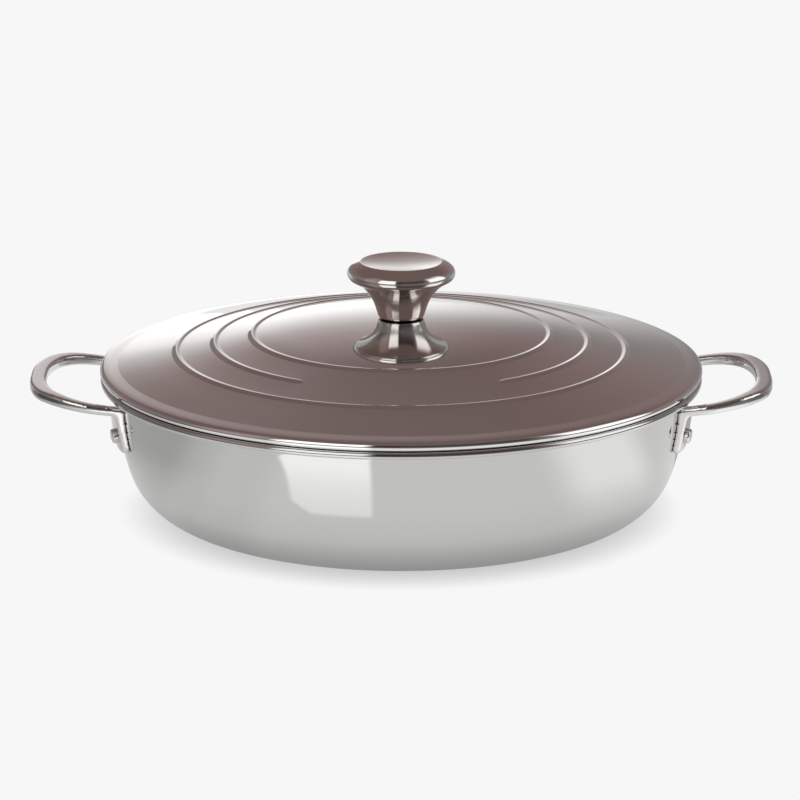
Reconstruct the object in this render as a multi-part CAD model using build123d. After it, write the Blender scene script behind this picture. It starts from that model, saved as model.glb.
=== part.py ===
from build123d import *
from math import asin, atan, atan2, cos, degrees, radians, sin, sqrt
import os

# A low braiser: a deep-drawn pan with two riveted loop handles, and a ringed, domed lid with a knob.
# Millimetres. The origin is the middle of the base's underside, +Z is up, the handles lie along X
# and the front, where the middle ring of the lid is interrupted, faces -Y.

# Pan shell: bonded sheet of one thickness, drawn and then flared into a pouring lip
PAN_SHEET = 2.5
LIP_RADIUS = 159.0
LIP_WIDTH = 6.5
LIP_SLOPE = 8.0
LIP_COVE_RADIUS = 3.0
LIP_EDGE_ROUND = 0.7
WALL_TOP_RADIUS = LIP_RADIUS - LIP_WIDTH
WALL_TOP_HEIGHT = 70.5
WALL_TOP_LEAN = 2.5
WALL_FLARE = 42.5
BASE_RADIUS = WALL_TOP_RADIUS - WALL_FLARE
BASE_CORNER_RADIUS = 36.0
CORNER_TURN = 72.0

# Lid shell: one thin sheet, domed, flanged, curled under and turned down into a locating skirt
LID_SHEET = 1.0
SEAT_GAP = 0.2
LID_SLOPE = 11.9
FLANGE_SLOPE = 6.0
FLANGE_WIDTH = 9.6
CURL_RADIUS = 1.9
FLANGE_BEND_RADIUS = 6.0
SKIRT_CLEARANCE = 1.1
SKIRT_BEND_RADIUS = 0.8
SKIRT_DEPTH = 5.0

# Raised rings of the lid: three at an even pitch, the widest one some way in from the lip
RING_INSET = 40.3
RING_PITCH = 20.0
RING_HALF_WIDTH = 2.5
RING_HEIGHT = 0.8
RING_CREST_SHARE = 0.56
RING_GAP_ANGLE = 65.0
RING_ROOT_DEPTH = 0.5

# Knob: one solid turned piece, from its foot on the lid up to the dished top
KNOB_FOOT_RADIUS = 11.7
KNOB_NECK_LEAN = 17.8
KNOB_NECK_LENGTH = 6.3
KNOB_FLARE_RADIUS = 25.0
KNOB_FLARE_END_SLOPE = 26.4
KNOB_RIM_ROUND = 4.0
KNOB_RIM_END_SLOPE = 126.0
KNOB_SHOULDER_WIDTH = 5.77
KNOB_SHOULDER_RISE = 3.62
KNOB_SHOULDER_END_SLOPE = 157.0
KNOB_CREST_ROUND = 1.6
KNOB_DISH_SLOPE = 9.0
KNOB_TAP_DEPTH = 12.0

# Knob fastening: a pan-head screw from below, over a washer
SCREW_RADIUS = 2.5
SCREW_HOLE_CLEARANCE = 0.25
SCREW_TAP_CLEARANCE = 0.05
SCREW_REACH = 10.0
SCREW_HEAD_RADIUS = 5.0
SCREW_HEAD_HEIGHT = 3.4
SCREW_HEAD_ROUND = 1.6
SCREW_RECESS_WIDTH = 1.0
SCREW_RECESS_LENGTH = 5.0
SCREW_RECESS_DEPTH = 1.8
WASHER_RADIUS = 8.0
WASHER_THICKNESS = 1.0
WASHER_EDGE_ROUND = 0.3

# Loop handles: a flat-topped loop that rises away from two feet on the wall
HANDLE_REACH = 36.8
HANDLE_TIP = LIP_RADIUS + HANDLE_REACH
HANDLE_HALF_WIDTH = 52.4
FOOT_INSET = 3.1
FOOT_HALF_WIDTH = HANDLE_HALF_WIDTH - FOOT_INSET
HANDLE_TIP_THICKNESS = 8.5
ARM_WIDTH = 6.3
FOOT_DROP = 2.35
FOOT_TOP = WALL_TOP_HEIGHT - FOOT_DROP
HANDLE_RISE = 5.7
ARM_HEIGHT = 4.65
TIP_HEIGHT = 6.85
HANDLE_EDGE_ROUND = 0.6
HANDLE_UNDER_ROUND = 1.7
LEG_TOP_THICKNESS = 4.9
LEG_TOE_THICKNESS = 4.3
LEG_FILLET = 3.2
TAB_DROP = 2.15
TAB_HEIGHT = 23.0
TAB_TOE_HEIGHT = FOOT_TOP - TAB_DROP - TAB_HEIGHT
TAB_GAP = 0.1
TAB_THICKNESS = 3.9
TAB_WIDTH = 16.5
TAB_INNER_ROUND = 7.0
TOE_ROUND = 3.0

# Rivets: one through each foot, a dome head inside the pan and an upset head outside
RIVET_INSET = 6.3
RIVET_OFFSET = FOOT_HALF_WIDTH - RIVET_INSET
RIVET_RISE = 9.5
RIVET_HEIGHT = TAB_TOE_HEIGHT + RIVET_RISE
RIVET_SHANK_RADIUS = 2.5
RIVET_HOLE_CLEARANCE = 0.05
RIVET_HEAD_RADIUS = 3.9
RIVET_HEAD_HEIGHT = 2.8
RIVET_HEAD_ROUND = 1.1
RIVET_INNER_RADIUS = 6.0
RIVET_INNER_HEIGHT = 1.5
RIVET_SEAT_GAP = 0.03

# Outline of the loop, seen from above: shares of the way from the wall to the tip, and of the
# half width, for the outer edge and then for the inner edge
OUTER_EDGE_SHARES = [
    (0.282, 0.966), (0.40, 0.99), (0.488, 1.0), (0.591, 0.983), (0.712, 0.927), (0.826, 0.817),
    (0.92, 0.655), (0.979, 0.41),
]
INNER_EDGE_SHARES = [
    (0.457, 1.0), (0.642, 0.975), (0.77, 0.895), (0.869, 0.765), (0.941, 0.582), (0.985, 0.345),
]
# Side view of the loop's top face: shares of the way from the foot to the tip, and of the rise
TOP_FACE_SHARES = [(0.24, 0.0), (0.47, 0.33), (0.63, 0.67), (0.78, 0.96)]

OVERRUN = 5.0


def straight(before, length):
    """A straight run on from the end of the edge before it."""
    return PolarLine(before @ 1, length, direction=before % 1)


def bend(before, radius, turn):
    """An arc on from the end of the edge before it, turning left for a positive angle."""
    return JernArc(before @ 1, before % 1, radius, turn)


def straight_to_radius(before, radius):
    """A straight run that ends at a given distance from the axis."""
    return straight(before, (radius - (before @ 1).X) / (before % 1).X)


def heading(edge):
    """The direction in which an edge ends, in degrees up from horizontal."""
    end = edge % 1
    return degrees(atan2(end.Y, end.X))


def direction(slope):
    """A unit direction at a slope in degrees up from horizontal."""
    return Vector(cos(radians(slope)), sin(radians(slope)))


def parallel(run, distance):
    """The same run, moved sideways to its left by a distance."""
    ends = []
    for end in (0, 1):
        along = run % end
        ends.append(run @ end + Vector(-along.Y, along.X) * distance)
    if run.geom_type == GeomType.LINE:
        return Line(*ends)
    if run.geom_type == GeomType.CIRCLE:
        return TangentArc(*ends, tangent=run % 0)
    return Spline(*ends, tangents=[run % 0, run % 1])


def turned(section):
    """A solid of revolution about Z from a section drawn as radius and height."""
    return revolve(Plane.XZ * section, Axis.Z)


def sheet_section(path, distance):
    """The section of a sheet of even thickness, from the path of one face to the one beside it."""
    other = [parallel(run, distance) for run in path]
    ends = [Line(path[0] @ 0, other[0] @ 0), Line(path[-1] @ 1, other[-1] @ 1)]
    return make_face([edge for run in (*path, *other, *ends) for edge in run.edges()])


# Pan shell


def pan_path():
    """The outer face of the pan, from the middle of the base to the lip's lower edge."""
    base = Line((0, 0), (BASE_RADIUS, 0))
    corner = bend(base, BASE_CORNER_RADIUS, CORNER_TURN)
    top = (WALL_TOP_RADIUS, WALL_TOP_HEIGHT)
    wall = Spline(corner @ 1, top, tangents=[corner % 1, direction(90 - WALL_TOP_LEAN)])
    cove = bend(wall, LIP_COVE_RADIUS, LIP_SLOPE - heading(wall))
    lip = straight_to_radius(cove, LIP_RADIUS)
    return base, corner, wall, cove, lip


def pan_section():
    """The drawn sheet with its lip's two edges rounded."""
    section = sheet_section(pan_path(), PAN_SHEET)
    return fillet(section.vertices().sort_by(Axis.X)[-2:], LIP_EDGE_ROUND)


def wall_at(height):
    """Radius of the wall's outer face at a height, and how far its normal tilts up there."""
    wall = pan_path()[2].edge()
    point = wall.find_intersection_points(Axis((0, height, 0), (1, 0, 0)))[0]
    along = wall.tangent_at(point)
    return point.X, -atan2(along.X, along.Y)


def make_pan_shell():
    """The pan, with a hole through the wall at each rivet."""
    shell = turned(pan_section())
    for side in (-1, 1):
        for plane in rivet_planes(side):
            shell -= plane * rivet_hole()
    return shell


# Rivets


def rivet_planes(side):
    """Planes on the wall's outer face at both rivets of one handle, facing outwards."""
    radius, tilt = wall_at(RIVET_HEIGHT)
    azimuth = asin(RIVET_OFFSET / radius)
    planes = []
    for end in (-1, 1):
        outward = Vector(side * cos(azimuth), end * sin(azimuth), 0)
        place = outward * radius + Vector(0, 0, RIVET_HEIGHT)
        normal = outward * cos(tilt) + Vector(0, 0, sin(tilt))
        planes.append(Plane(place, x_dir=outward.cross(Vector(0, 0, 1)), z_dir=normal))
    return planes


def rivet_hole():
    """The hole for a rivet's shank, long enough to pass wall and foot."""
    length = PAN_SHEET + TAB_THICKNESS + OVERRUN
    return Cylinder(RIVET_SHANK_RADIUS + RIVET_HOLE_CLEARANCE, length + length)


def make_rivet():
    """One rivet about its own axis, with the wall's outer face at height 0."""
    wall_radius = wall_at(RIVET_HEIGHT)[0] - PAN_SHEET
    hollow = wall_radius - sqrt(wall_radius ** 2 - RIVET_INNER_RADIUS ** 2)
    inner_seat = -PAN_SHEET - hollow - RIVET_SEAT_GAP
    outer_seat = TAB_GAP + TAB_THICKNESS + RIVET_SEAT_GAP
    outer_top = outer_seat + RIVET_HEAD_HEIGHT
    inner_top = (0, inner_seat - RIVET_INNER_HEIGHT)
    dome = TangentArc(inner_top, (RIVET_INNER_RADIUS, inner_seat), tangent=(1, 0))
    sides = Polyline(
        (RIVET_INNER_RADIUS, inner_seat),
        (RIVET_SHANK_RADIUS, inner_seat),
        (RIVET_SHANK_RADIUS, outer_seat),
        (RIVET_HEAD_RADIUS, outer_seat),
        (RIVET_HEAD_RADIUS, outer_top),
        (0, outer_top),
        inner_top,
    )
    rivet = turned(make_face([*dome.edges(), *sides.edges()]))
    rim = rivet.edges().filter_by(GeomType.CIRCLE).sort_by(Axis.Z)[-1]
    return fillet(rim, RIVET_HEAD_ROUND)


def make_handle_rivets(side):
    """The two rivets of one handle."""
    return Compound(children=[plane * make_rivet() for plane in rivet_planes(side)])


# Loop handles


def loop_start():
    """Where the loop's outline starts, well inside the wall."""
    return WALL_TOP_RADIUS - FOOT_HALF_WIDTH / 2


def mirrored_loop(foot_half_width, shares, half_width, tip):
    """A closed outline: a smooth edge from foot to tip, its mirror image and the line between."""
    start = loop_start()
    points = [(start, foot_half_width)]
    for along, across in shares:
        points.append((start + along * (tip - start), across * half_width))
    edge = Spline(*points, (tip, 0), tangents=[(1, 0), (0, -1)])
    other = edge.mirror(Plane.XZ)
    return make_face([*edge.edges(), *other.edges(), *Line(edge @ 0, other @ 0).edges()])


def loop_outline():
    """The loop seen from above, running in past the wall."""
    outer = mirrored_loop(
        FOOT_HALF_WIDTH, OUTER_EDGE_SHARES, HANDLE_HALF_WIDTH, HANDLE_TIP
    )
    inner = mirrored_loop(
        FOOT_HALF_WIDTH - ARM_WIDTH, INNER_EDGE_SHARES,
        HANDLE_HALF_WIDTH - ARM_WIDTH, HANDLE_TIP - HANDLE_TIP_THICKNESS,
    )
    return outer - inner


def leg_face(height, thickness):
    """How far out a leg's outer face lies, beside the outer edge of the foot."""
    radius = wall_at(height)[0] + TAB_GAP + thickness
    return sqrt(radius ** 2 - FOOT_HALF_WIDTH ** 2)


def loop_side_view():
    """The loop seen from its side: rising arms with a leg turned down along the wall."""
    start = loop_start()
    reach = HANDLE_TIP - start
    under_foot = FOOT_TOP - ARM_HEIGHT
    leg_top = leg_face(under_foot, LEG_TOP_THICKNESS)
    upper = [(start, FOOT_TOP)]
    lower = [(leg_top, under_foot)]
    for along, up in TOP_FACE_SHARES:
        x = start + along * reach
        z = FOOT_TOP + up * HANDLE_RISE
        upper.append((x, z))
        if x > leg_top + LEG_FILLET:
            lower.append((x, z - ARM_HEIGHT - along * along * (TIP_HEIGHT - ARM_HEIGHT)))
    tip_top = FOOT_TOP + HANDLE_RISE
    upper.append((HANDLE_TIP + OVERRUN, tip_top))
    lower.append((HANDLE_TIP + OVERRUN, tip_top - TIP_HEIGHT))
    top = Spline(*upper, tangents=[(1, 0), (1, 0)])
    under = Spline(*lower)
    toe = (leg_face(TAB_TOE_HEIGHT, LEG_TOE_THICKNESS), TAB_TOE_HEIGHT)
    rest = Polyline(under @ 0, toe, (start, TAB_TOE_HEIGHT), top @ 0)
    end = Line(top @ 1, under @ 1)
    face = make_face([*top.edges(), *end.edges(), *under.edges(), *rest.edges()])
    corner = face.vertices().sort_by_distance(under @ 0)[0]
    return fillet(corner, LEG_FILLET)


def outer_toe_edges(loop):
    """The lowest edges on the outer sides of a loop's two legs."""
    lowest = loop.edges().group_by(Axis.Z)[0]
    return [edge for edge in lowest if abs(edge.center().Y) > FOOT_HALF_WIDTH - ARM_WIDTH / 4]


def loop_edges(loop):
    """The edges of a loop that run out past the wall."""
    return [edge for edge in loop.edges() if edge.bounding_box().max.X > WALL_TOP_RADIUS]


def make_loop():
    """The arms and grip of one handle with the legs that turn down and lie on the wall."""
    width = HANDLE_HALF_WIDTH + OVERRUN
    side_view = extrude(Plane.XZ * loop_side_view(), width, both=True)
    tall = FOOT_TOP + HANDLE_RISE + OVERRUN
    loop = side_view & extrude(loop_outline(), tall)
    loop = fillet(outer_toe_edges(loop), TOE_ROUND)
    lower = [edge for edge in loop_edges(loop) if edge.bounding_box().min.Z < FOOT_TOP - ARM_HEIGHT / 2]
    loop = fillet(lower, HANDLE_UNDER_ROUND) - inside_wall()
    upper = [edge for edge in loop_edges(loop) if edge.bounding_box().min.Z > FOOT_TOP - ARM_HEIGHT / 4]
    return fillet(upper, HANDLE_EDGE_ROUND)


def tab_band():
    """A ring of the tabs' thickness that follows the wall just clear of its outer face."""
    wall = pan_path()[2]
    return turned(sheet_section([parallel(wall, -TAB_GAP)], -TAB_THICKNESS))


def inside_wall():
    """Everything inside the wall and the handles' gap to it."""
    edge = parallel(pan_path()[2], -TAB_GAP)
    low, high = (edge @ 0).Y, (edge @ 1).Y
    rest = Polyline(edge @ 0, (0, low), (0, high), edge @ 1)
    return turned(make_face([*edge.edges(), *rest.edges()]))


def make_tabs():
    """The two rounded tabs of one handle, curved to lie on the wall."""
    band = tab_band()
    tabs = []
    for end in (-1, 1):
        centre = end * (FOOT_HALF_WIDTH - TAB_WIDTH / 2)
        middle = Pos(centre, TAB_TOE_HEIGHT + TAB_HEIGHT / 2)
        outline = Plane.YZ * middle * Rectangle(TAB_WIDTH, TAB_HEIGHT)
        prism = extrude(outline, LIP_RADIUS)
        corners = prism.edges().filter_by(Axis.X)
        inner = [edge for edge in corners if abs(edge.center().Y) < abs(centre)]
        prism = fillet(inner, TAB_INNER_ROUND)
        corners = prism.edges().filter_by(Axis.X).sort_by(Axis.Z)
        outer = [edge for edge in corners if abs(edge.center().Y) > abs(centre)]
        tabs.append(fillet(outer[0], TOE_ROUND) & band)
    return tabs


def make_loop_handle(side):
    """One handle: the loop with its tabs, drilled for its rivets."""
    handle = make_loop()
    for tab in make_tabs():
        handle += tab
    for plane in rivet_planes(1):
        handle -= plane * rivet_hole()
    if side < 0:
        handle = handle.rotate(Axis.Z, 180)
    return handle


# Lid shell


def ring_curves(before):
    """A raised ring in the sheet, from the end of the edge before it: foot, crest and foot."""
    turn = degrees(2 * atan(RING_HEIGHT / RING_HALF_WIDTH))
    size = RING_HALF_WIDTH / sin(radians(turn))
    crest_radius = RING_CREST_SHARE * size
    foot_radius = size - crest_radius
    foot = bend(before, foot_radius, turn)
    crest = bend(foot, crest_radius, -2 * turn)
    return foot, crest, bend(crest, foot_radius, turn)


def ring_crest_radius(steps):
    """Distance from the axis of the ring that is so many steps in from the widest one."""
    return LIP_RADIUS - RING_INSET - steps * RING_PITCH


def lid_path():
    """The outer face of the lid from the knob's seat to the end of the skirt, top at height 0."""
    foot_reach = RING_HALF_WIDTH * cos(radians(LID_SLOPE))
    cap_end = ring_crest_radius(2) - foot_reach
    cap_radius = cap_end / sin(radians(LID_SLOPE))
    seat_slope = degrees(asin(KNOB_FOOT_RADIUS / cap_radius))
    hole = SCREW_RADIUS + SCREW_HOLE_CLEARANCE
    seat_bend = 2 * LID_SHEET
    path = [Line((hole, 0), (KNOB_FOOT_RADIUS, 0))]
    path.append(bend(path[-1], seat_bend, -seat_slope))
    path.append(bend(path[-1], cap_radius, seat_slope - LID_SLOPE))
    path.extend(ring_curves(path[-1]))
    path.append(straight_to_radius(path[-1], ring_crest_radius(0) - foot_reach))
    path.extend(ring_curves(path[-1]))
    path.append(straight_to_radius(path[-1], LIP_RADIUS - FLANGE_WIDTH))
    path.append(bend(path[-1], FLANGE_BEND_RADIUS, LID_SLOPE - FLANGE_SLOPE))
    flange_end = LIP_RADIUS - CURL_RADIUS + CURL_RADIUS * sin(radians(FLANGE_SLOPE))
    path.append(straight_to_radius(path[-1], flange_end))
    path.append(bend(path[-1], CURL_RADIUS, FLANGE_SLOPE - 180))
    skirt = WALL_TOP_RADIUS - PAN_SHEET - SKIRT_CLEARANCE
    path.append(straight_to_radius(path[-1], skirt + SKIRT_BEND_RADIUS))
    path.append(bend(path[-1], SKIRT_BEND_RADIUS, 90))
    path.append(straight(path[-1], SKIRT_DEPTH - SKIRT_BEND_RADIUS))
    return path


def lid_top_height():
    """Height of the knob's seat when the lid's curled edge rests on the pan's lip."""
    under_edge = (lid_path()[-4] @ 1).Y
    return pan_section().bounding_box().max.Y + SEAT_GAP - under_edge


def middle_ring(drop):
    """The interrupted ring's ridge with its rounded ends, moved down through the sheet by a drop."""
    slope = lid_path()[6]
    share = (ring_crest_radius(1) - (slope @ 0).X) / ((slope @ 1).X - (slope @ 0).X)
    place = Pos(*(slope @ share)) * Rot(0, 0, heading(slope))
    crest = ThreePointArc((-RING_HALF_WIDTH, 0), (0, RING_HEIGHT), (RING_HALF_WIDTH, 0))
    root = Polyline(
        crest @ 1, (RING_HALF_WIDTH, -RING_ROOT_DEPTH), (-RING_HALF_WIDTH, -RING_ROOT_DEPTH), crest @ 0
    )
    ridge = Pos(0, -drop) * make_face([*crest.edges(), *root.edges()])
    half = ridge & Pos(RING_HALF_WIDTH, 0) * Rectangle(2 * RING_HALF_WIDTH, 2 * OVERRUN)
    button = Plane.XZ * (place * revolve(half, Axis.Y))
    start = RING_GAP_ANGLE / 2 - 90
    sweep = 360 - RING_GAP_ANGLE
    ring = Rot(0, 0, start) * revolve(Plane.XZ * (place * ridge), Axis.Z, sweep)
    return ring + Rot(0, 0, start) * button + Rot(0, 0, start + sweep) * button


def make_lid_shell():
    """The lid's sheet with its three rings, the middle one open at the front."""
    shell = turned(sheet_section(lid_path(), -LID_SHEET))
    shell += middle_ring(0)
    shell -= middle_ring(LID_SHEET)
    return Pos(0, 0, lid_top_height()) * shell


# Knob and its fastening


def make_knob():
    """The knob: foot, leaning neck, flared underside, rounded rim and dished top."""
    foot = Line((0, 0), (KNOB_FOOT_RADIUS, 0))
    neck = PolarLine(foot @ 1, KNOB_NECK_LENGTH, direction=direction(90 - KNOB_NECK_LEAN))
    flare = bend(neck, KNOB_FLARE_RADIUS, KNOB_FLARE_END_SLOPE - heading(neck))
    rim = bend(flare, KNOB_RIM_ROUND, KNOB_RIM_END_SLOPE - KNOB_FLARE_END_SLOPE)
    shoulder_end = rim @ 1 + Vector(-KNOB_SHOULDER_WIDTH, KNOB_SHOULDER_RISE)
    shoulder = Spline(
        rim @ 1, shoulder_end, tangents=[rim % 1, direction(KNOB_SHOULDER_END_SLOPE)]
    )
    crest = bend(shoulder, KNOB_CREST_ROUND, 180 + KNOB_DISH_SLOPE - KNOB_SHOULDER_END_SLOPE)
    dish_radius = (crest @ 1).X / sin(radians(KNOB_DISH_SLOPE))
    dish = bend(crest, dish_radius, -KNOB_DISH_SLOPE)
    axis = Line(dish @ 1, foot @ 0)
    path = (foot, neck, flare, rim, shoulder, crest, dish, axis)
    knob = turned(make_face([edge for run in path for edge in run.edges()]))
    tap = Cylinder(SCREW_RADIUS + SCREW_TAP_CLEARANCE, KNOB_TAP_DEPTH * 2)
    return Pos(0, 0, lid_top_height()) * (knob - tap)


def make_knob_washer():
    """The flat washer against the underside of the lid."""
    ring = Cylinder(WASHER_RADIUS, WASHER_THICKNESS) - Cylinder(
        SCREW_RADIUS + SCREW_HOLE_CLEARANCE, WASHER_THICKNESS * 2
    )
    rims = ring.edges().filter_by(GeomType.CIRCLE).sort_by(SortBy.RADIUS)[-2:]
    ring = fillet(rims, WASHER_EDGE_ROUND)
    return Pos(0, 0, lid_top_height() - LID_SHEET - WASHER_THICKNESS / 2) * ring


def make_knob_screw():
    """The pan-head screw, its head under the washer and its shank up in the knob."""
    length = WASHER_THICKNESS + LID_SHEET + SCREW_REACH
    shank = Pos(0, 0, length / 2) * Cylinder(SCREW_RADIUS, length)
    head = Pos(0, 0, -SCREW_HEAD_HEIGHT / 2) * Cylinder(SCREW_HEAD_RADIUS, SCREW_HEAD_HEIGHT)
    head = fillet(head.edges().filter_by(GeomType.CIRCLE).sort_by(Axis.Z)[0], SCREW_HEAD_ROUND)
    slot = Box(SCREW_RECESS_LENGTH, SCREW_RECESS_WIDTH, SCREW_RECESS_DEPTH * 2)
    for turn in (0, 90):
        head -= Pos(0, 0, -SCREW_HEAD_HEIGHT) * Rot(0, 0, turn) * slot
    under_washer = lid_top_height() - LID_SHEET - WASHER_THICKNESS
    return Pos(0, 0, under_washer) * (head + shank)


def write(shape, node):
    """Write one node's solids."""
    export_step(shape, f"parts/{node}.step")


if __name__ == "__main__":
    os.makedirs("parts", exist_ok=True)
    write(make_pan_shell(), "pan_shell")
    for name, side in (("left", -1), ("right", 1)):
        write(make_loop_handle(side), f"{name}_handle")
        write(make_handle_rivets(side), f"{name}_handle_rivets")
    write(make_lid_shell(), "lid_shell")
    write(make_knob(), "knob")
    write(make_knob_washer(), "knob_washer")
    write(make_knob_screw(), "knob_screw")
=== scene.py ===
from math import asin, atan2, cos, degrees, hypot, pi, radians, sin

import bpy
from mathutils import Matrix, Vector


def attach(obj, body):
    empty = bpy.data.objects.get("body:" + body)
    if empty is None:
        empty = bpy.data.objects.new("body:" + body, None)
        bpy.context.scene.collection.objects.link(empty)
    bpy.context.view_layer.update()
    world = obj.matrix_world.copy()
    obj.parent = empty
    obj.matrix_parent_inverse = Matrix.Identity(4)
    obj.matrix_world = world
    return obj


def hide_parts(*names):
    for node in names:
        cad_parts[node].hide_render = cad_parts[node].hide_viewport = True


# A low braiser with two loop handles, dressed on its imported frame. Sizes are in millimetres and
# angles in degrees, as in the part's source, and MM turns a size into metres.

MM = 0.001

# Pan shell
PAN_SHEET = 2.5
LIP_RADIUS = 159.0
WALL_TOP_RADIUS = 152.5
WALL_TOP_HEIGHT = 69.1
WALL_TOP_LEAN = 2.5
BASE_RADIUS = 110.0
BASE_CORNER_RADIUS = 36.0
CORNER_TURN = 72.0
LIP_COVE_RADIUS = 3.0
LIP_SLOPE = 8.0
LIP_ROLL_RADIUS = 2.4
LIP_ROLL_SLOPE = -6.0
LIP_EDGE_ROUND = 1.3

# Lid shell
LID_SHEET = 1.0
SEAT_GAP = 0.2
LID_SLOPE = 11.9
FLANGE_SLOPE = 8.0
FLANGE_WIDTH = 9.6
FLANGE_BEND_RADIUS = 6.0
CURL_RADIUS = 2.5
SKIRT_CLEARANCE = 1.1
SKIRT_BEND_RADIUS = 0.8
SKIRT_DEPTH = 5.0
SCREW_HOLE_RADIUS = 2.75

# Raised rings of the lid: the mesh is fine a margin past each, and the domed cap ends before the first
RING_RADII = (78.7, 98.7, 118.7)
RING_HALF_WIDTH = 2.4
RING_MARGIN = 0.2
CAP_MARGIN = 0.9
RING_HEIGHT = 0.8
RING_GAP_ANGLE = 65.0

# Knob: a crease is cut in under its foot, and shade is painted into its colour there, from one height to
# another over the seat
KNOB_FOOT_RADIUS = 11.7
KNOB_FOOT_ROUND = 0.35
KNOB_CREASE_DEPTH = 1.2
KNOB_CREASE_HEIGHT = 0.6
PAINTED_CREASE_SHADE_FROM = 0.6
PAINTED_CREASE_SHADE_TO = 1.1
PAINTED_CREASE_SHADE = 0.1
KNOB_NECK_LEAN = 17.8
KNOB_NECK_LENGTH = 6.3
KNOB_FLARE_RADIUS = 25.0
KNOB_FLARE_END_SLOPE = 26.4
KNOB_RIM_ROUND = 4.0
KNOB_RIM_END_SLOPE = 126.0
KNOB_SHOULDER_WIDTH = 5.77
KNOB_SHOULDER_RISE = 3.62
KNOB_SHOULDER_END_SLOPE = 157.0
KNOB_CREST_ROUND = 1.6
KNOB_DISH_SLOPE = 9.0

# Handle castings: the weld, the size of the even mesh, and how often its edges are softened
CASTING_WELD = 0.01
CASTING_VOXEL = 0.6
CASTING_SOFTENING = 22

# Steps round the turned pieces, few enough to keep each under 200,000 triangles, and the merge of
# what lies on the axis and the seam
PAN_STEPS = 360
LID_STEPS = 500
KNOB_STEPS = 256
DOUBLES_DISTANCE = 0.002

# Where satin steel takes over: how far a face points inwards, up or down, and its place in mm
FACING = 0.1
FACING_DOWN = 0.5
BASE_BAND = 0.5
BASE_EDGE = 1.0
SATIN_EDGE = 12.0

# Marks in the steel: their drift round the axis, the size of the cloudy wear and the share of each
MARK_DRIFT = 0.04
CLOUD_SCALE = 22.0
MARK_SHARE = 0.6
CLOUD_SHARE = 0.4


# Sections: lists of (radius, height, slope), drawn as a walk of tangent runs


class Walk:
    """A smooth line drawn run by run, kept as points with the direction of travel at each."""

    def __init__(self, x, z, slope):
        self.x, self.z, self.slope = x, z, slope
        self.points = [(x, z, slope)]

    def mark(self, x, z, slope):
        self.x, self.z, self.slope = x, z, slope
        self.points.append((x, z, slope))

    def straight(self, length, steps=1):
        """A straight run in the direction of travel."""
        x, z = self.x, self.z
        for step in range(1, steps + 1):
            way = length * step / steps
            self.mark(x + way * cos(radians(self.slope)), z + way * sin(radians(self.slope)), self.slope)
        return self

    def out_to(self, radius, steps=1):
        """A straight run that ends at a distance from the axis."""
        return self.straight((radius - self.x) / cos(radians(self.slope)), steps)

    def arc(self, radius, turn, steps):
        """An arc that turns left for a positive angle."""
        side = 1 if turn > 0 else -1
        start = radians(self.slope)
        cx = self.x - side * radius * sin(start)
        cz = self.z + side * radius * cos(start)
        for step in range(1, steps + 1):
            angle = start + radians(turn) * step / steps
            self.mark(cx + side * radius * sin(angle), cz - side * radius * cos(angle), degrees(angle))
        return self

    def curve_to(self, x, z, slope, steps):
        """A cubic run to a point, with the given direction of travel at its end."""
        x0, z0, s0 = self.x, self.z, radians(self.slope)
        reach = hypot(x - x0, z - z0)
        s1 = radians(slope)
        for step in range(1, steps + 1):
            t = step / steps
            a, b = 2 * t ** 3 - 3 * t ** 2 + 1, (t ** 3 - 2 * t ** 2 + t) * reach
            c, d = 3 * t ** 2 - 2 * t ** 3, (t ** 3 - t ** 2) * reach
            px = a * x0 + b * cos(s0) + c * x + d * cos(s1)
            pz = a * z0 + b * sin(s0) + c * z + d * sin(s1)
            a, b = 6 * t ** 2 - 6 * t, (3 * t ** 2 - 4 * t + 1) * reach
            c, d = 6 * t - 6 * t ** 2, (3 * t ** 2 - 2 * t) * reach
            dx = a * x0 + b * cos(s0) + c * x + d * cos(s1)
            dz = a * z0 + b * sin(s0) + c * z + d * sin(s1)
            self.mark(px, pz, degrees(atan2(dz, dx)))
        return self

    def beside(self, distance):
        """The same line moved to the left by a distance, walked backwards."""
        moved = []
        for x, z, slope in reversed(self.points):
            moved.append((x - distance * sin(radians(slope)), z + distance * cos(radians(slope)), slope))
        return moved


def rounded_end(one, other, steps=7):
    """Points of a half-round edge from the end of one face to the start of the other."""
    middle = Vector(((one[0] + other[0]) / 2, (one[1] + other[1]) / 2))
    arm = Vector(one[:2]) - middle
    along = Vector((-arm.y, arm.x))
    if along.dot(Vector((cos(radians(one[2])), sin(radians(one[2]))))) < 0:
        along = -along
    points = []
    for step in range(1, steps):
        angle = pi * step / steps
        place = middle + arm * cos(angle) + along * sin(angle) * 0.7
        points.append((place.x, place.y))
    return points


def pan_section():
    """Inner face of the pan from the axis to the lip, and back along the outer face."""
    walk = Walk(0, 0, 0).straight(20, 1).out_to(BASE_RADIUS - 1, 10).out_to(BASE_RADIUS, 1)
    walk.arc(BASE_CORNER_RADIUS, CORNER_TURN, 24)
    walk.curve_to(WALL_TOP_RADIUS, WALL_TOP_HEIGHT, 90 - WALL_TOP_LEAN, 28)
    # The lip's underside rolls down to a full edge, while its top keeps the seat for the lid.
    roll = Walk(walk.x, walk.z, walk.slope)
    roll.arc(LIP_ROLL_RADIUS, LIP_ROLL_SLOPE - 90 + WALL_TOP_LEAN, 10)
    roll.out_to(LIP_RADIUS - LIP_EDGE_ROUND, 2)
    outer = walk.points + roll.points[1:]
    walk.arc(LIP_COVE_RADIUS, LIP_SLOPE - 90 + WALL_TOP_LEAN, 10)
    walk.out_to(LIP_RADIUS - LIP_EDGE_ROUND, 3)
    inner = walk.beside(PAN_SHEET)
    edge = rounded_end(outer[-1], inner[0], 10)
    section = [p[:2] for p in outer] + edge + [(max(p[0], 0), p[1]) for p in inner]
    return section[::-1]


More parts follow.
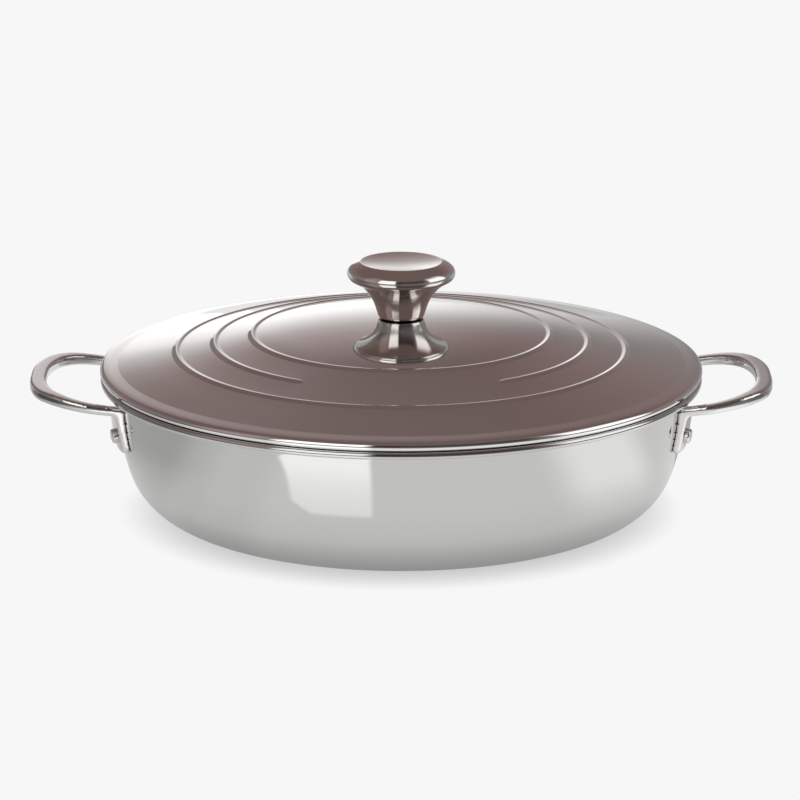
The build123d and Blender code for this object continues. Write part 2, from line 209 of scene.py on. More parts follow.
def lid_walk():
    """Outer face of the lid, without its rings, from the screw hole to the end of the skirt."""
    cap_end = RING_RADII[0] - RING_HALF_WIDTH - CAP_MARGIN
    cap_radius = cap_end / sin(radians(LID_SLOPE))
    seat_slope = degrees(asin(KNOB_FOOT_RADIUS / cap_radius))
    walk = Walk(SCREW_HOLE_RADIUS, 0, 0).out_to(KNOB_FOOT_RADIUS)
    walk.arc(2 * LID_SHEET, -seat_slope, 2)
    walk.arc(cap_radius, seat_slope - LID_SLOPE, 14)
    for radius in RING_RADII:
        walk.out_to(radius - RING_HALF_WIDTH - RING_MARGIN)
        walk.out_to(radius + RING_HALF_WIDTH + RING_MARGIN, 15)
    walk.out_to(LIP_RADIUS - FLANGE_WIDTH, 3)
    walk.arc(FLANGE_BEND_RADIUS, LID_SLOPE - FLANGE_SLOPE, 3)
    walk.out_to(LIP_RADIUS - CURL_RADIUS + CURL_RADIUS * sin(radians(FLANGE_SLOPE)), 2)
    walk.arc(CURL_RADIUS, FLANGE_SLOPE - 180, 14)
    walk.out_to(WALL_TOP_RADIUS - PAN_SHEET - SKIRT_CLEARANCE + SKIRT_BEND_RADIUS)
    walk.arc(SKIRT_BEND_RADIUS, 90, 4)
    walk.straight(SKIRT_DEPTH - SKIRT_BEND_RADIUS)
    return walk


def lid_rise():
    """Height of the knob's seat when the lid's curled edge rests on the pan's lip."""
    under_edge = min(z for x, z, slope in lid_walk().points if x > WALL_TOP_RADIUS)
    lip_top = max(z for x, z in pan_section() if x > WALL_TOP_RADIUS)
    return lip_top + SEAT_GAP - under_edge


def lid_section():
    """Closed section of the lid's sheet, its two free edges rounded."""
    walk = lid_walk()
    inner = walk.beside(-LID_SHEET)
    edge = rounded_end(walk.points[-1], inner[0], 6)
    hole = rounded_end(inner[-1], walk.points[0], 4)
    outer = [p[:2] for p in walk.points]
    return outer + edge + [p[:2] for p in inner] + hole + outer[:1]


def knob_section():
    """The knob from its dished top, round the rim and down the neck, to the middle of its foot."""
    neck_slope = 90 - KNOB_NECK_LEAN
    walk = Walk(0, 0, 0).straight(KNOB_FOOT_RADIUS - KNOB_CREASE_DEPTH, 3)
    walk.mark(walk.x, KNOB_CREASE_HEIGHT, 90)
    walk.mark(KNOB_FOOT_RADIUS - KNOB_FOOT_ROUND, KNOB_CREASE_HEIGHT, 0)
    walk.arc(KNOB_FOOT_ROUND, neck_slope, 6)
    start = KNOB_CREASE_HEIGHT + 2 * KNOB_FOOT_ROUND
    along_neck = start / sin(radians(neck_slope))
    walk.mark(KNOB_FOOT_RADIUS + along_neck * cos(radians(neck_slope)), start, neck_slope)
    walk.straight(KNOB_NECK_LENGTH - along_neck, 6)
    walk.arc(KNOB_FLARE_RADIUS, KNOB_FLARE_END_SLOPE - neck_slope, 24)
    walk.arc(KNOB_RIM_ROUND, KNOB_RIM_END_SLOPE - KNOB_FLARE_END_SLOPE, 24)
    shoulder = (walk.x - KNOB_SHOULDER_WIDTH, walk.z + KNOB_SHOULDER_RISE)
    walk.curve_to(*shoulder, KNOB_SHOULDER_END_SLOPE, 12)
    walk.arc(KNOB_CREST_ROUND, 180 + KNOB_DISH_SLOPE - KNOB_SHOULDER_END_SLOPE, 8)
    walk.arc(walk.x / sin(radians(KNOB_DISH_SLOPE)), -KNOB_DISH_SLOPE, 14)
    return [(max(p[0], 0), p[1]) for p in reversed(walk.points)]


# Node trees that turn sections into pieces


class Tree:
    """A geometry node tree with short ways to add nodes and link them."""

    def __init__(self, name):
        self.group = bpy.data.node_groups.new(name, "GeometryNodeTree")
        self.inputs = {}

    def socket(self, name, kind, way="INPUT", value=None):
        made = self.group.interface.new_socket(name, in_out=way, socket_type=kind)
        if value is not None:
            made.default_value = value
        self.inputs[name] = made.identifier
        return made

    def node(self, kind, links=(), **settings):
        made = self.group.nodes.new(kind)
        for key, value in settings.items():
            setattr(made, key, value)
        for place, source in dict(links).items():
            if hasattr(source, "links"):
                self.group.links.new(source, made.inputs[place])
            else:
                made.inputs[place].default_value = source
        return made

    def sum(self, operation, *terms):
        made = self.node("ShaderNodeMath", dict(enumerate(terms)), operation=operation)
        return made.outputs[0]


def ring_height_group():
    """How far the sheet is raised at a point by one ring, which may be open at the front."""
    tree = Tree("raised_ring")
    for name in ("Crest Radius", "Half Width", "Height", "Gap Angle"):
        tree.socket(name, "NodeSocketFloat")
    tree.socket("Raised", "NodeSocketFloat", way="OUTPUT")
    given = tree.node("NodeGroupInput").outputs
    place = tree.node("ShaderNodeSeparateXYZ", {0: tree.node("GeometryNodeInputPosition").outputs[0]})
    x, y = place.outputs[0], place.outputs[1]
    aside = tree.sum("ABSOLUTE", x)
    ahead = tree.sum("MULTIPLY", y, -1.0)
    radius = tree.sum("SQRT", tree.sum("ADD", tree.sum("MULTIPLY", x, x), tree.sum("MULTIPLY", y, y)))
    turn = tree.sum("ARCTAN2", aside, ahead)
    half_gap = tree.sum("MULTIPLY", given["Gap Angle"], 0.5)
    across = tree.sum("ABSOLUTE", tree.sum("SUBTRACT", radius, given["Crest Radius"]))
    end_aside = tree.sum("MULTIPLY", given["Crest Radius"], tree.sum("SINE", half_gap))
    end_ahead = tree.sum("MULTIPLY", given["Crest Radius"], tree.sum("COSINE", half_gap))
    off_x, off_y = tree.sum("SUBTRACT", aside, end_aside), tree.sum("SUBTRACT", ahead, end_ahead)
    squares = tree.sum("ADD", tree.sum("MULTIPLY", off_x, off_x), tree.sum("MULTIPLY", off_y, off_y))
    to_end = tree.sum("SQRT", squares)
    in_gap = tree.sum("LESS_THAN", turn, half_gap)
    distance = tree.sum("ADD", tree.sum("MULTIPLY", in_gap, to_end),
                        tree.sum("MULTIPLY", tree.sum("SUBTRACT", 1.0, in_gap), across))
    share = tree.sum("MINIMUM", tree.sum("DIVIDE", distance, given["Half Width"]), 1.0)
    wave = tree.sum("COSINE", tree.sum("MULTIPLY", share, pi))
    raised = tree.sum("MULTIPLY", given["Height"], tree.sum("MULTIPLY_ADD", wave, 0.5, 0.5))
    tree.node("NodeGroupOutput", {0: raised})
    return tree.group


def lathe_tree(name, rings=()):
    """Turns the points of a section about the axis, and raises rings in the sheet it makes."""
    tree = Tree(name)
    tree.socket("Section", "NodeSocketGeometry")
    tree.socket("Steps Round", "NodeSocketInt", value=240)
    tree.socket("Finish", "NodeSocketMaterial")
    for index in range(len(rings)):
        tree.socket(f"Ring {index} Radius", "NodeSocketFloat")
        tree.socket(f"Ring {index} Gap", "NodeSocketFloat")
    if rings:
        tree.socket("Ring Half Width", "NodeSocketFloat")
        tree.socket("Ring Height", "NodeSocketFloat")
        tree.socket("Sheet Slope", "NodeSocketFloat")
    tree.socket("Turned", "NodeSocketGeometry", way="OUTPUT")
    given = tree.node("NodeGroupInput").outputs
    size = tree.node("GeometryNodeAttributeDomainSize", {0: given["Section"]})
    round_count = tree.sum("ADD", given["Steps Round"], 1.0)
    grid = tree.node("GeometryNodeMeshGrid", {2: size.outputs["Point Count"], 3: round_count})
    index = tree.node("GeometryNodeInputIndex").outputs[0]
    along = tree.sum("FLOOR", tree.sum("DIVIDE", tree.sum("ADD", index, 0.5), round_count))
    step = tree.sum("SUBTRACT", index, tree.sum("MULTIPLY", along, round_count))
    angle = tree.sum("MULTIPLY", tree.sum("DIVIDE", step, given["Steps Round"]), 2 * pi)
    sample = tree.node(
        "GeometryNodeSampleIndex",
        {0: given["Section"], 1: tree.node("GeometryNodeInputPosition").outputs[0], 2: along},
        data_type="FLOAT_VECTOR",
    )
    point = tree.node("ShaderNodeSeparateXYZ", {0: sample.outputs[0]}).outputs
    x = tree.sum("MULTIPLY", point[0], tree.sum("COSINE", angle))
    y = tree.sum("MULTIPLY", point[0], tree.sum("SINE", angle))
    place = tree.node("ShaderNodeCombineXYZ", {0: x, 1: y, 2: point[2]})
    shape = tree.node("GeometryNodeSetPosition", {0: grid.outputs[0], 2: place.outputs[0]}).outputs[0]
    if rings:
        group = ring_height_group()
        total = None
        for index in range(len(rings)):
            ring = tree.node("GeometryNodeGroup", node_tree=group)
            tree.group.links.new(given[f"Ring {index} Radius"], ring.inputs["Crest Radius"])
            tree.group.links.new(given[f"Ring {index} Gap"], ring.inputs["Gap Angle"])
            tree.group.links.new(given["Ring Half Width"], ring.inputs["Half Width"])
            tree.group.links.new(given["Ring Height"], ring.inputs["Height"])
            total = ring.outputs[0] if total is None else tree.sum("ADD", total, ring.outputs[0])
        place = tree.node("GeometryNodeInputPosition").outputs[0]
        flat = tree.node("ShaderNodeVectorMath", {0: place, 1: (1, 1, 0)}, operation="MULTIPLY")
        outwards = tree.node("ShaderNodeVectorMath", {0: flat.outputs[0]}, operation="NORMALIZE")
        lean = tree.node("ShaderNodeVectorMath", {0: outwards.outputs[0]}, operation="SCALE")
        tree.group.links.new(tree.sum("SINE", given["Sheet Slope"]), lean.inputs["Scale"])
        up = tree.node("ShaderNodeCombineXYZ", {2: tree.sum("COSINE", given["Sheet Slope"])})
        normal = tree.node("ShaderNodeVectorMath", {0: lean.outputs[0], 1: up.outputs[0]},
                           operation="ADD")
        offset = tree.node("ShaderNodeVectorMath", {0: normal.outputs[0]}, operation="SCALE")
        tree.group.links.new(total, offset.inputs["Scale"])
        shape = tree.node("GeometryNodeSetPosition", {0: shape, 3: offset.outputs[0]}).outputs[0]
    merged = tree.node("GeometryNodeMergeByDistance", {0: shape, 2: DOUBLES_DISTANCE * MM}).outputs[0]
    smooth = tree.node("GeometryNodeSetShadeSmooth", {0: merged, 2: True}).outputs[0]
    real = tree.node("GeometryNodeRealizeInstances", {0: smooth}).outputs[0]
    coated = tree.node("GeometryNodeSetMaterial", {0: real}).outputs[0]
    material = [n for n in tree.group.nodes if n.bl_idname == "GeometryNodeSetMaterial"][0]
    tree.group.links.new(given["Finish"], material.inputs["Material"])
    tree.node("NodeGroupOutput", {0: coated})
    return tree


def turned_piece(name, section, rise, tree, values, finish):
    """A piece turned from a section by a node tree, as a plain mesh in its place."""
    line = bpy.data.meshes.new(name + "_section")
    line.from_pydata([(x * MM, 0, (z + rise) * MM) for x, z in section], [], [])
    holder = bpy.data.objects.new(name + "_section", line)
    bpy.context.scene.collection.objects.link(holder)
    modifier = holder.modifiers.new("turn", "NODES")
    modifier.node_group = tree.group
    modifier[tree.inputs["Finish"]] = finish
    for key, value in values.items():
        modifier[tree.inputs[key]] = value
    seen = holder.evaluated_get(bpy.context.evaluated_depsgraph_get())
    mesh = bpy.data.meshes.new_from_object(seen)
    mesh.name = name
    bpy.data.objects.remove(holder)
    piece = bpy.data.objects.new(name, mesh)
    bpy.context.scene.collection.objects.link(piece)
    return piece


# Second finishes by place, and the castings


def finish_where(piece, finish, chosen):
    """Gives a second finish to the faces for which chosen(radius, height, outward, up) is true, in mm."""
    mesh = piece.data
    mesh.materials.append(finish)
    last = len(mesh.materials) - 1
    for face in mesh.polygons:
        x, y, z = face.center
        radius = hypot(x, y)
        outward = (face.normal.x * x + face.normal.y * y) / max(radius, MM)
        if chosen(radius / MM, z / MM, outward, face.normal.z):
            face.material_index = last


def inside_pan(radius, height, outward, up):
    return height < WALL_TOP_HEIGHT and (outward < -FACING or up > FACING)


def under_base(radius, height, outward, up):
    return height < BASE_BAND and radius < BASE_RADIUS - BASE_EDGE


def under_lid(radius, height, outward, up):
    return up < -FACING_DOWN and radius < LIP_RADIUS - SATIN_EDGE


def softened_casting(node, name, finish):
    """A casting's own shape with its edges tumbled soft, as a polished casting has them."""
    copy = bpy.data.objects.new(name + "_copy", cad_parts[node].data.copy())
    bpy.context.scene.collection.objects.link(copy)
    weld = copy.modifiers.new("weld", "WELD")
    weld.merge_threshold = CASTING_WELD * MM
    even = copy.modifiers.new("even", "REMESH")
    even.mode = "VOXEL"
    even.voxel_size = CASTING_VOXEL * MM
    soft = copy.modifiers.new("soft", "SMOOTH")
    soft.factor = 0.5
    soft.iterations = CASTING_SOFTENING
    mesh = bpy.data.meshes.new_from_object(copy.evaluated_get(bpy.context.evaluated_depsgraph_get()))
    mesh.name = name
    bpy.data.objects.remove(copy)
    mesh.materials.clear()
    mesh.materials.append(finish)
    mesh.shade_smooth()
    piece = bpy.data.objects.new(name, mesh)
    bpy.context.scene.collection.objects.link(piece)
    return piece


# Materials


class Shading:
    """A shader node tree with short ways to add nodes and link them."""

    def __init__(self, tree):
        self.nodes = tree.nodes
        self.links = tree.links

    def node(self, kind, links=(), **settings):
        made = self.nodes.new(kind)
        for key, value in settings.items():
            setattr(made, key, value)
        for place, source in dict(links).items():
            if hasattr(source, "links"):
                self.links.new(source, made.inputs[place])
            else:
                made.inputs[place].default_value = source
        return made

    def math(self, operation, *terms):
        return self.node("ShaderNodeMath", dict(enumerate(terms)), operation=operation).outputs[0]

    def ease(self, value, start, end, low=0.0, high=1.0):
        """A smooth step from low at start to high at end."""
        made = self.node("ShaderNodeMapRange", {0: value, 1: start, 2: end, 3: low, 4: high},
                         interpolation_type="SMOOTHSTEP")
        return made.outputs[0]

    def band(self, value, start, end, soft):
        """1 between start and end, with soft edges."""
        return self.math("SUBTRACT", self.ease(value, start - soft, start + soft),
                         self.ease(value, end - soft, end + soft))

    def ramp(self, value, stops):
        """Values along a line, given as (place, level) pairs."""
        made = self.node("ShaderNodeValToRGB", {0: value})
        elements = made.color_ramp.elements
        while len(elements) < len(stops):
            elements.new(0.5)
        for element, (place, level) in zip(elements, stops):
            element.position = place
            element.color = (level, level, level, 1)
        return made.outputs[0]

    def around(self, place):
        """Distance from the axis, turn from the front towards the right in degrees, and height."""
        point = self.node("ShaderNodeSeparateXYZ", {0: place}).outputs
        squares = self.math("ADD", self.math("MULTIPLY", point[0], point[0]),
                            self.math("MULTIPLY", point[1], point[1]))
        turn = self.math("ARCTAN2", point[0], self.math("MULTIPLY", point[1], -1.0))
        return self.math("SQRT", squares), self.math("MULTIPLY", turn, degrees(1)), point[2]


class Finish(Shading):
    """A material and its shader."""

    def __init__(self, name):
        self.material = bpy.data.materials.new(name)
        self.material.use_nodes = True
        super().__init__(self.material.node_tree)
        self.shader = self.nodes["Principled BSDF"]


def polished_steel(name, colour, roughness, spread, grain, depth, turned=0.0, painted_shade_seat=None):
    """Steel with faint marks round the axis in its gloss and surface.

    roughness and spread give the gloss, grain the marks to a metre and depth their depth in metres.
    turned draws the gloss out along the axis, and the last argument, when given, is the height of the
    knob's seat, just above which shade is painted into the colour under the knob's foot.
    """
    finish = Finish(name)
    finish.shader.inputs["Base Color"].default_value = (*colour, 1)
    finish.shader.inputs["Metallic"].default_value = 1.0
    if turned:
        finish.shader.inputs["Anisotropic"].default_value = turned
        finish.shader.inputs["Anisotropic Rotation"].default_value = 0.25
        tangent = finish.node("ShaderNodeTangent", direction_type="RADIAL", axis="Z")
        finish.links.new(tangent.outputs[0], finish.shader.inputs["Tangent"])
    place = finish.node("ShaderNodeTexCoord").outputs["Object"]
    radius, turn, height = finish.around(place)
    # Painted shade: the colour is darkened to a tenth just above the seat, under the knob's foot, and
    # comes back to full half a millimetre higher.
    if painted_shade_seat is not None:
        start, end = (painted_shade_seat + PAINTED_CREASE_SHADE_FROM) * MM, (painted_shade_seat + PAINTED_CREASE_SHADE_TO) * MM
        shade = finish.ease(height, start, end, PAINTED_CREASE_SHADE, 1.0)
        shaded = finish.node("ShaderNodeVectorMath", {0: colour}, operation="SCALE")
        finish.links.new(shade, shaded.inputs["Scale"])
        finish.links.new(shaded.outputs[0], finish.shader.inputs["Base Color"])
    marks = finish.node("ShaderNodeCombineXYZ", {0: finish.math("MULTIPLY", radius, grain),
                                                 1: finish.math("MULTIPLY", turn, MARK_DRIFT),
                                                 2: finish.math("MULTIPLY", height, grain)})
    fine = finish.node("ShaderNodeTexNoise", {"Vector": marks.outputs[0], "Scale": 1.0, "Detail": 4.0})
    cloud = finish.node("ShaderNodeTexNoise", {"Vector": place, "Scale": CLOUD_SCALE, "Detail": 3.0})
    wear = finish.math("ADD", finish.math("MULTIPLY", fine.outputs["Fac"], MARK_SHARE),
                       finish.math("MULTIPLY", cloud.outputs["Fac"], CLOUD_SHARE))
    gloss = finish.math("MULTIPLY_ADD", wear, spread, roughness - spread / 2)
    finish.links.new(gloss, finish.shader.inputs["Roughness"])
    bump = finish.node("ShaderNodeBump",
                       {"Strength": 1.0, "Distance": depth, "Height": fine.outputs["Fac"]})
    finish.links.new(bump.outputs[0], finish.shader.inputs["Normal"])
    return finish.material


# Scene

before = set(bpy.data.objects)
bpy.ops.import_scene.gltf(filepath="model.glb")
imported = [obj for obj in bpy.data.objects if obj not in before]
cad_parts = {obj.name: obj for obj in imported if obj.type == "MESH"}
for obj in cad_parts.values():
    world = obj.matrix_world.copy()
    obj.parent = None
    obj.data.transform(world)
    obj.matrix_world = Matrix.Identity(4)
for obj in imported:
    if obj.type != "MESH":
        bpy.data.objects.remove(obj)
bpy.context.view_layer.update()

seat_height = lid_rise()
pan_steel = polished_steel("pan_steel", (0.62, 0.62, 0.61),
                           roughness=0.07, spread=0.03, grain=900.0, depth=3e-7)
lid_steel = polished_steel("lid_steel", (0.82, 0.82, 0.81),
                           roughness=0.045, spread=0.02, grain=1400.0, depth=3e-7)
# The knob's steel carries painted shade in the crease under its foot.
knob_steel = polished_steel("knob_steel", (0.79, 0.76, 0.73),
                            roughness=0.12, spread=0.03, grain=1600.0, depth=3e-7,
                            turned=0.9, painted_shade_seat=seat_height)
handle_steel = polished_steel("handle_steel", (0.74, 0.73, 0.72),
                              roughness=0.045, spread=0.02, grain=500.0, depth=3e-7)
satin_steel = polished_steel("satin_steel", (0.70, 0.70, 0.69),
                             roughness=0.26, spread=0.08, grain=1500.0, depth=8e-7, turned=0.6)
rivet_steel = polished_steel("rivet_steel", (0.78, 0.71, 0.67),
                             roughness=0.2, spread=0.05, grain=1500.0, depth=1e-6)
plain_steel = polished_steel("plain_steel", (0.72, 0.72, 0.71),
                             roughness=0.28, spread=0.08, grain=1500.0, depth=1e-6)

plain_lathe = lathe_tree("lathe")
lid_lathe = lathe_tree("ringed_lathe", RING_RADII)

pan = turned_piece("pan_shell_polished", pan_section(), 0, plain_lathe,
                   {"Steps Round": PAN_STEPS}, pan_steel)
ring_values = {
    "Steps Round": LID_STEPS,
    "Ring Half Width": RING_HALF_WIDTH * MM,
    "Ring Height": RING_HEIGHT * MM,
    "Sheet Slope": radians(LID_SLOPE),
}
for index, radius in enumerate(RING_RADII):
    ring_values[f"Ring {index} Radius"] = radius * MM
    ring_values[f"Ring {index} Gap"] = radians(RING_GAP_ANGLE) if index == 1 else 0.0
lid = turned_piece("lid_shell_polished", lid_section(), seat_height, lid_lathe, ring_values, lid_steel)
knob = turned_piece("knob_turned", knob_section(), seat_height, plain_lathe,
                    {"Steps Round": KNOB_STEPS}, knob_steel)

finish_where(pan, satin_steel, inside_pan)
finish_where(pan, satin_steel, under_base)
finish_where(lid, satin_steel, under_lid)
left_handle = softened_casting("left_handle", "left_handle_cast", handle_steel)
right_handle = softened_casting("right_handle", "right_handle_cast", handle_steel)

for piece, body, node, slot in (
    (pan, "pan", "pan_shell", "polished_pan"),
    (lid, "lid", "lid_shell", "polished_lid"),
    (knob, "lid", "knob", "polished_knob"),
    (left_handle, "pan", "left_handle", "polished_handle"),
    (right_handle, "pan", "right_handle", "polished_handle"),
):
    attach(piece, body)
    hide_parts(node)

for node, finish in (
    ("left_handle_rivets", rivet_steel),
    ("right_handle_rivets", rivet_steel),
    ("knob_washer", plain_steel),
    ("knob_screw", plain_steel),
):
    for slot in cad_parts[node].material_slots:
        slot.material = finish


# Floor, studio light and camera

# The studio's light as the steel in the photograph shows it. Places on the floor are in metres from
# the axis, turns in degrees from the front towards the right, rises in degrees above the horizon, and
# levels are shares of white. A fade is where it starts and ends, and mostly the levels there. A band
# is where it starts and ends, and how soft its ends are. An edge is its drift with the radius and its
# turn at the axis.

PAPER_WHITE = 0.93
FLOOR_REACH = 8.0
SHADOW_REACH = 0.019
SHADOW_POWER = 1.5
SHADOW_DEPTH = -0.38

# Floor, as mirrored: painted light and shade in the paper's glow, which only mirrored rays see
NEAR_PAN = (10.0, -1.0)
NEAR_PAN_SHADE = ((0.0, 0.12), (0.19, 0.36), (0.36, 0.6), (0.52, 0.78), (0.64, 0.84), (0.82, 0.89),
                  (1.0, 0.91))
LIT_FADE = (0.305, 0.420, 1.0, 0.17)
AHEAD_FADE = (100.0, 140.0, 1.0, 0.0)
PATCH_LEFT_EDGE = (72.0, 15.0)
PATCH_RIGHT_EDGE = (15.0, 4.6)
PATCH_LEFT_FADE = (-1.0, 1.0)
PATCH_RIGHT_FADE = (-0.8, 0.8, 1.0, 0.0)
PATCH_CORNER = (-1.0, 6.0, 0.203, 0.187)
PATCH_NEAR_FADE = (-0.003, 0.004)
PATCH_GAIN = (0.17, 0.32, 0.30, 0.66)
RIGHT_BAND = (49.0, 82.0, 9.0)
RIGHT_FADE = (0.14, 0.22)
RIGHT_GAIN = 0.36
LEFT_BAND = (-120.0, -66.0, 14.0)
LEFT_LOSS = (0.12, 0.24, -0.04, -0.40)
FRONT_LEFT_BAND = (-64.0, -38.0, 6.0)
FRONT_LEFT_LOSS = -0.08
BACK_LEFT_BAND = (-168.0, -115.0, 4.0)
BACK_LEFT_LOSS = (0.26, 0.42, 0.0, -0.4)
BACK_RIGHT_BAND = (112.0, 175.0, 5.0)
BACK_RIGHT_LOSS = -0.48

# Room, paper and softboxes, as mirrored
TAUPE = (1.27, 0.885, 0.845)
GREY = (1.09, 0.97, 0.95)
TINT_FADE = (8.0, 26.0)
ROOM_FADE = (12.0, 42.0, 0.2, 0.13)
DARK_BAND = (-16.0, 54.0, 8.0)
DARK_FADE = (28.0, 42.0, 1.0, 0.0)
DARK_LOSS = -0.8
LEFT_WALL_BAND = (-84.0, -52.0, 8.0)
LEFT_WALL_FADE = (45.0, 60.0, 0.14, 0.0)
PAPER_TOP = 45.0
PAPER_BY_RISE = ((0.0, 1.0), (0.11, 0.97), (0.178, 0.84), (0.267, 0.6), (0.333, 0.43), (0.4, 0.29),
                 (0.489, 0.19), (0.622, 0.11), (0.778, 0.045), (0.933, 0.0))
PAPER_LOW_FADE = (6.0, 13.0, 1.0, 0.0)
PAPER_LEFT_START = (-0.5, -13.0)
PAPER_LEFT_END = (-1.5, -7.0)
PAPER_RIGHT_FADE = (-2.5, 9.0, 0.95, 0.0)
PAPER_FAR_RIGHT = 0.05
LEFT_BOX_TURNS = (-49.0, -12.5, 2.5)
LEFT_BOX_RISES = (-5.0, 42.5, 2.0)
LEFT_BOX_LEVEL = 1.25
RIGHT_BOX_TURNS = (63.0, 106.0, 4.0)
RIGHT_BOX_FADE = (28.0, 54.0, 1.0, 0.0)
RIGHT_BOX_LEVEL = 1.2

# Camera: its rise over the target, its distance, the two points in mm, and the lens and sensor in mm
VIEW_RISE = 14.8
VIEW_DISTANCE = 2600
VIEW_TARGET = (-0.63, 0, 80)
VIEW_AIM = (-0.63, 0, 59.05)
LENS = 221.3
SENSOR_WIDTH = 36.0


def floor_as_steel_sees_it(finish, place):
    """Painted light and shade on the paper for mirrored rays: lit round the pan only, a painted pool of
    light ahead of it on the left, less light at the sides, and painted shade close to the pan.
    """
    radius, turn, _ = finish.around(place)
    # Painted shade: the paper darkens towards the pan's foot, as the steel mirrors it.
    near_pan = finish.ramp(finish.math("MULTIPLY_ADD", radius, *NEAR_PAN), NEAR_PAN_SHADE)
    lit = finish.ease(radius, *LIT_FADE)
    ahead = finish.ease(finish.math("ABSOLUTE", turn), *AHEAD_FADE)
    near = finish.math("ADD", finish.math("MULTIPLY", lit, ahead), finish.math("SUBTRACT", 1.0, ahead))

    # A painted pool of light on the paper ahead of the pan, on the left.
    drift, at_axis = PATCH_LEFT_EDGE
    left_edge = finish.math("MULTIPLY_ADD", radius, drift, finish.math("ADD", turn, at_axis))
    drift, at_axis = PATCH_RIGHT_EDGE
    right_edge = finish.math("MULTIPLY_ADD", radius, drift, finish.math("ADD", turn, at_axis))
    past_left = finish.ease(left_edge, *PATCH_LEFT_FADE)
    short_of_right = finish.ease(right_edge, *PATCH_RIGHT_FADE)
    past_corner = finish.math("SUBTRACT", radius, finish.ease(left_edge, *PATCH_CORNER))
    patch = finish.math("MULTIPLY", finish.math("MULTIPLY", past_left, short_of_right),
                        finish.ease(past_corner, *PATCH_NEAR_FADE))
    patch = finish.math("MULTIPLY", patch, finish.ease(radius, *PATCH_GAIN))

    # Painted light at the right, and painted shade at the left, front left, back left and back right.
    right = finish.math("MULTIPLY", finish.band(turn, *RIGHT_BAND), finish.ease(radius, *RIGHT_FADE))
    right = finish.math("MULTIPLY", right, RIGHT_GAIN)
    left = finish.math("MULTIPLY", finish.band(turn, *LEFT_BAND), finish.ease(radius, *LEFT_LOSS))
    front_left = finish.math("MULTIPLY", finish.band(turn, *FRONT_LEFT_BAND), FRONT_LEFT_LOSS)
    back_left = finish.math("MULTIPLY", finish.band(turn, *BACK_LEFT_BAND),
                            finish.ease(radius, *BACK_LEFT_LOSS))
    back_right = finish.math("MULTIPLY", finish.band(turn, *BACK_RIGHT_BAND), BACK_RIGHT_LOSS)

    share = 1.0
    for part in (patch, right, left, front_left, back_left, back_right):
        share = finish.math("ADD", part, share)
    return finish.math("MULTIPLY", finish.math("MULTIPLY", near, share), near_pan)


def make_floor():
    """A wide sheet of pale paper: the camera sees its glow with the object's contact shadow painted from
    ambient occlusion, and mirrored rays see painted light and shade.
    """
    mesh = bpy.data.meshes.new("studio_floor")
    corners = [(FLOOR_REACH * x, FLOOR_REACH * y, 0) for x, y in ((-1, -1), (1, -1), (1, 1), (-1, 1))]
    mesh.from_pydata(corners, [], [(0, 1, 2, 3)])
    floor = bpy.data.objects.new("studio_floor", mesh)
    bpy.context.scene.collection.objects.link(floor)
    finish = Finish("floor_paper")
    finish.shader.inputs["Base Color"].default_value = (PAPER_WHITE, PAPER_WHITE, PAPER_WHITE, 1)
    finish.shader.inputs["Roughness"].default_value = 1.0
    finish.shader.inputs["Specular IOR Level"].default_value = 0.0
    rays = finish.node("ShaderNodeLightPath").outputs
    place = finish.node("ShaderNodeTexCoord").outputs["Object"]
    # Painted contact shadow: the glow that the camera sees is darkened by ambient occlusion near the pan.
    openness = finish.node("ShaderNodeAmbientOcclusion", {"Distance": SHADOW_REACH}, samples=16)
    hidden = finish.math("POWER", finish.math("SUBTRACT", 1.0, openness.outputs["AO"]), SHADOW_POWER)
    shadow = finish.math("MULTIPLY_ADD", hidden, SHADOW_DEPTH, 1.0)
    mirrored = finish.math("MULTIPLY", rays["Is Glossy Ray"], floor_as_steel_sees_it(finish, place))
    direct = finish.math("MULTIPLY", finish.math("SUBTRACT", 1.0, rays["Is Glossy Ray"]), shadow)
    glow = finish.node("ShaderNodeEmission", {0: (PAPER_WHITE, PAPER_WHITE, PAPER_WHITE, 1),
                                              1: finish.math("ADD", mirrored, direct)})
    share = finish.math("MAXIMUM", rays["Is Camera Ray"], rays["Is Glossy Ray"])
    mix = finish.node("ShaderNodeMixShader", {0: share, 1: finish.shader.outputs[0], 2: glow.outputs[0]})
    finish.links.new(mix.outputs[0], finish.nodes["Material Output"].inputs[0])
    mesh.materials.append(finish.material)


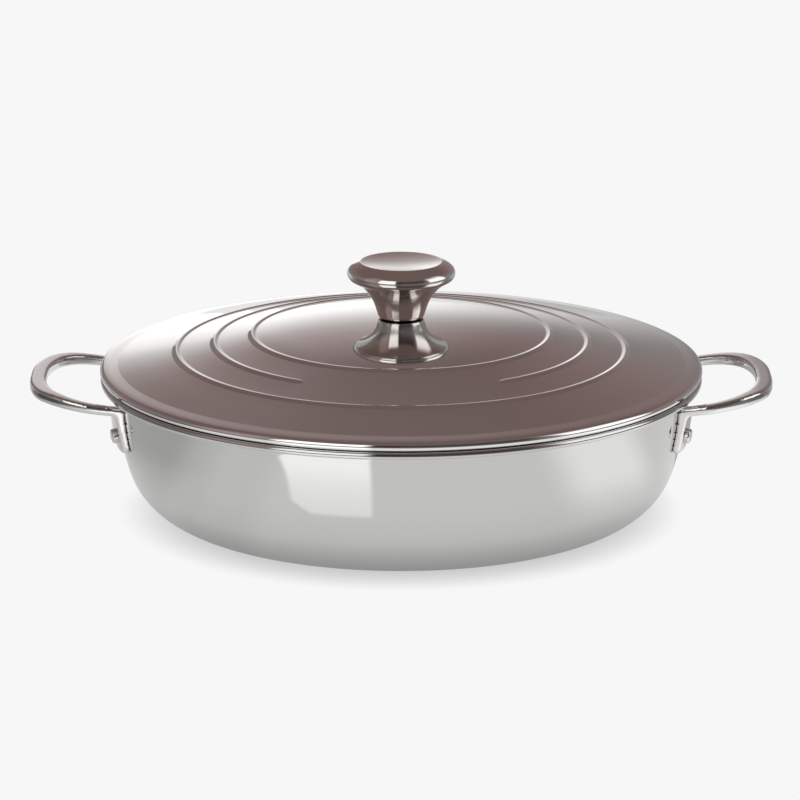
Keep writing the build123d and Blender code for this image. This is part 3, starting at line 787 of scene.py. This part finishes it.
def studio_as_steel_sees_it(studio, place):
    """White paper low behind, a softbox ahead on the left, one at the right, and a dim warm room."""
    _, turn, height = studio.around(place)
    rise = studio.math("MULTIPLY", studio.math("ARCSINE", height), degrees(1))
    behind = studio.math("SUBTRACT", 180.0, studio.math("ABSOLUTE", turn))
    side = studio.math("MULTIPLY", studio.math("SIGN", turn), behind)

    dark = studio.math("MULTIPLY", studio.band(turn, *DARK_BAND), studio.ease(rise, *DARK_FADE))
    room = studio.math("MULTIPLY", studio.ease(rise, *ROOM_FADE),
                       studio.math("MULTIPLY_ADD", dark, DARK_LOSS, 1.0))
    left_wall = studio.math("MULTIPLY", studio.band(turn, *LEFT_WALL_BAND),
                            studio.ease(rise, *LEFT_WALL_FADE))
    tint = studio.node("ShaderNodeMix", {0: studio.ease(rise, *TINT_FADE), 6: (*GREY, 1), 7: (*TAUPE, 1)},
                       data_type="RGBA")
    warm = studio.node("ShaderNodeVectorMath", {0: tint.outputs[2]}, operation="SCALE")
    studio.links.new(studio.math("ADD", room, left_wall), warm.inputs["Scale"])

    paper = studio.ramp(studio.math("DIVIDE", rise, PAPER_TOP), PAPER_BY_RISE)
    low = studio.ease(rise, *PAPER_LOW_FADE)
    left_reach = studio.ease(side, studio.math("MULTIPLY_ADD", low, *PAPER_LEFT_START),
                             studio.math("MULTIPLY_ADD", low, *PAPER_LEFT_END))
    right_reach = studio.math("ADD", studio.ease(side, *PAPER_RIGHT_FADE), PAPER_FAR_RIGHT)
    paper = studio.math("MULTIPLY", paper, studio.math("MULTIPLY", left_reach, right_reach))

    left_box = studio.math("MULTIPLY", studio.band(turn, *LEFT_BOX_TURNS),
                           studio.band(rise, *LEFT_BOX_RISES))
    right_box = studio.math("MULTIPLY", studio.band(turn, *RIGHT_BOX_TURNS),
                            studio.ease(rise, *RIGHT_BOX_FADE))
    boxes = studio.math("ADD", studio.math("MULTIPLY", left_box, LEFT_BOX_LEVEL),
                        studio.math("MULTIPLY", right_box, RIGHT_BOX_LEVEL))
    white = studio.math("ADD", paper, boxes)
    return studio.node("ShaderNodeVectorMath", {0: warm.outputs[0], 1: white}, operation="ADD").outputs[0]


def make_world():
    """An even pale studio for the camera and for soft light, and a shaped one for steel to mirror."""
    world = bpy.data.worlds.new("studio")
    bpy.context.scene.world = world
    world.use_nodes = True
    studio = Shading(world.node_tree)
    studio.nodes.clear()
    place = studio.node("ShaderNodeTexCoord").outputs["Generated"]
    even = studio.node("ShaderNodeBackground", {0: (PAPER_WHITE, PAPER_WHITE, PAPER_WHITE, 1), 1: 1.0})
    shaped = studio.node("ShaderNodeBackground", {0: studio_as_steel_sees_it(studio, place), 1: 1.0})
    rays = studio.node("ShaderNodeLightPath").outputs
    mix = studio.node("ShaderNodeMixShader",
                      {0: rays["Is Glossy Ray"], 1: even.outputs[0], 2: shaped.outputs[0]})
    studio.node("ShaderNodeOutputWorld", {0: mix.outputs[0]})


def make_camera():
    """The photograph's view: a long lens a little above the lid, aimed below its middle."""
    elevation = radians(VIEW_RISE)
    target = Vector(VIEW_TARGET) * MM
    away = VIEW_DISTANCE * MM
    data = bpy.data.cameras.new("camera")
    data.sensor_fit = "HORIZONTAL"
    data.sensor_width = SENSOR_WIDTH
    data.lens = LENS
    data.clip_end = 50
    camera = bpy.data.objects.new("camera", data)
    bpy.context.scene.collection.objects.link(camera)
    camera.location = target + Vector((0, -away * cos(elevation), away * sin(elevation)))
    aim = Vector(VIEW_AIM) * MM
    camera.rotation_euler = (aim - camera.location).to_track_quat("-Z", "Y").to_euler()
    bpy.context.scene.camera = camera


make_floor()
make_world()
make_camera()
bpy.context.scene.view_settings.view_transform = "Standard"
